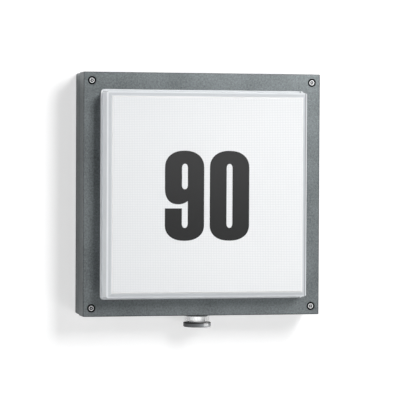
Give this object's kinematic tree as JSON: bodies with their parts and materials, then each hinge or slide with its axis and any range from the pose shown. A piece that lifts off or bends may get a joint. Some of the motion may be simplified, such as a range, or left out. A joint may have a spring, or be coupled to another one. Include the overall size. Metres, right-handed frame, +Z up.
{
  "type": "outdoor wall light",
  "caption": "Square wall light with an opal diffuser that carries a house number, a cast metal frame, and a motion sensor underneath.",
  "frame": {"origin": "centre of the wall screws' pattern, on the back face that lies on the wall", "axes": "+Y into the wall, so the light faces -Y; +X right as seen from the front; +Z up, the sensor points down"},
  "size_m": [0.305, 0.086, 0.321],
  "materials": {
    "anthracite_coat": "fine textured metallic powder coat on cast aluminium",
    "opal_plastic": "opal acrylic, satin moulded",
    "clear_plastic": "clear polycarbonate",
    "lens_plastic": "thin white polyethylene",
    "grey_plastic": "moulded grey, fine grain",
    "stainless": "bright stainless steel",
    "zinc_steel": "zinc plated",
    "black_rubber": "moulded seal rubber",
    "reflector_coat": "white coated sheet",
    "white_board": "white solder mask",
    "green_board": "green solder mask",
    "diode_phosphor": "yellow phosphor",
    "driver_case": "moulded white case",
    "terminal_plastic": "moulded polyamide",
    "blue_plastic": "moulded blue case",
    "dial_plastic": "moulded grey",
    "detector_can": "nickel plated",
    "lead_brown": "wire insulation",
    "lead_green": "wire insulation, green with yellow",
    "lead_white": "wire insulation"
  },
  "bodies": {
    "light": {"rear_housing": "anthracite_coat", "front_frame": "anthracite_coat", "diffuser": "opal_plastic", "frame_seal": "black_rubber", "diffuser_seal": "black_rubber", "diffuser_clips": "zinc_steel", "gear_tray": "reflector_coat", "led_board_1": "white_board", "led_board_2": "white_board", "led_board_3": "white_board", "led_board_4": "white_board", "leds_1": "diode_phosphor", "leds_2": "diode_phosphor", "leds_3": "diode_phosphor", "leds_4": "diode_phosphor", "led_driver": "driver_case", "terminal_block": "terminal_plastic", "terminal_screws": "zinc_steel", "cable_grommet": "black_rubber", "cable_clamp": "terminal_plastic", "sensor_seal": "black_rubber", "sensor_body": "grey_plastic", "sensor_barrel": "clear_plastic", "sensor_cap": "grey_plastic", "sensor_nut": "grey_plastic", "sensor_lens": "lens_plastic", "sensor_board": "green_board", "heat_detector": "detector_can", "light_detector": "clear_plastic", "dial_seals": "black_rubber", "potentiometers": "blue_plastic", "setting_board": "green_board", "setting_board_screws": "zinc_steel", "supply_leads": "lead_brown", "earth_lead": "lead_green", "led_lead": "lead_white", "board_links": "lead_white", "sensor_lead": "lead_white", "detector_lead": "lead_white", "screw_seals": "black_rubber", "cover_screws": "stainless", "clip_screws": "zinc_steel", "tray_screws": "zinc_steel", "board_screws": "zinc_steel", "driver_screws": "zinc_steel", "clamp_screws": "zinc_steel", "earth_screw": "zinc_steel"},
    "time_dial": {"time_dial": "dial_plastic"},
    "twilight_dial": {"twilight_dial": "dial_plastic"}
  },
  "joints": [
    {"name": "time_turn", "type": "hinge", "parent": "light", "child": "time_dial", "pos_m": [0.038, -0.0136, -0.1508], "axis": [0, 0, 1], "range_deg": [-135, 135]},
    {"name": "twilight_turn", "type": "hinge", "parent": "light", "child": "twilight_dial", "pos_m": [-0.038, -0.0136, -0.1508], "axis": [0, 0, 1], "range_deg": [-135, 135]}
  ]
}
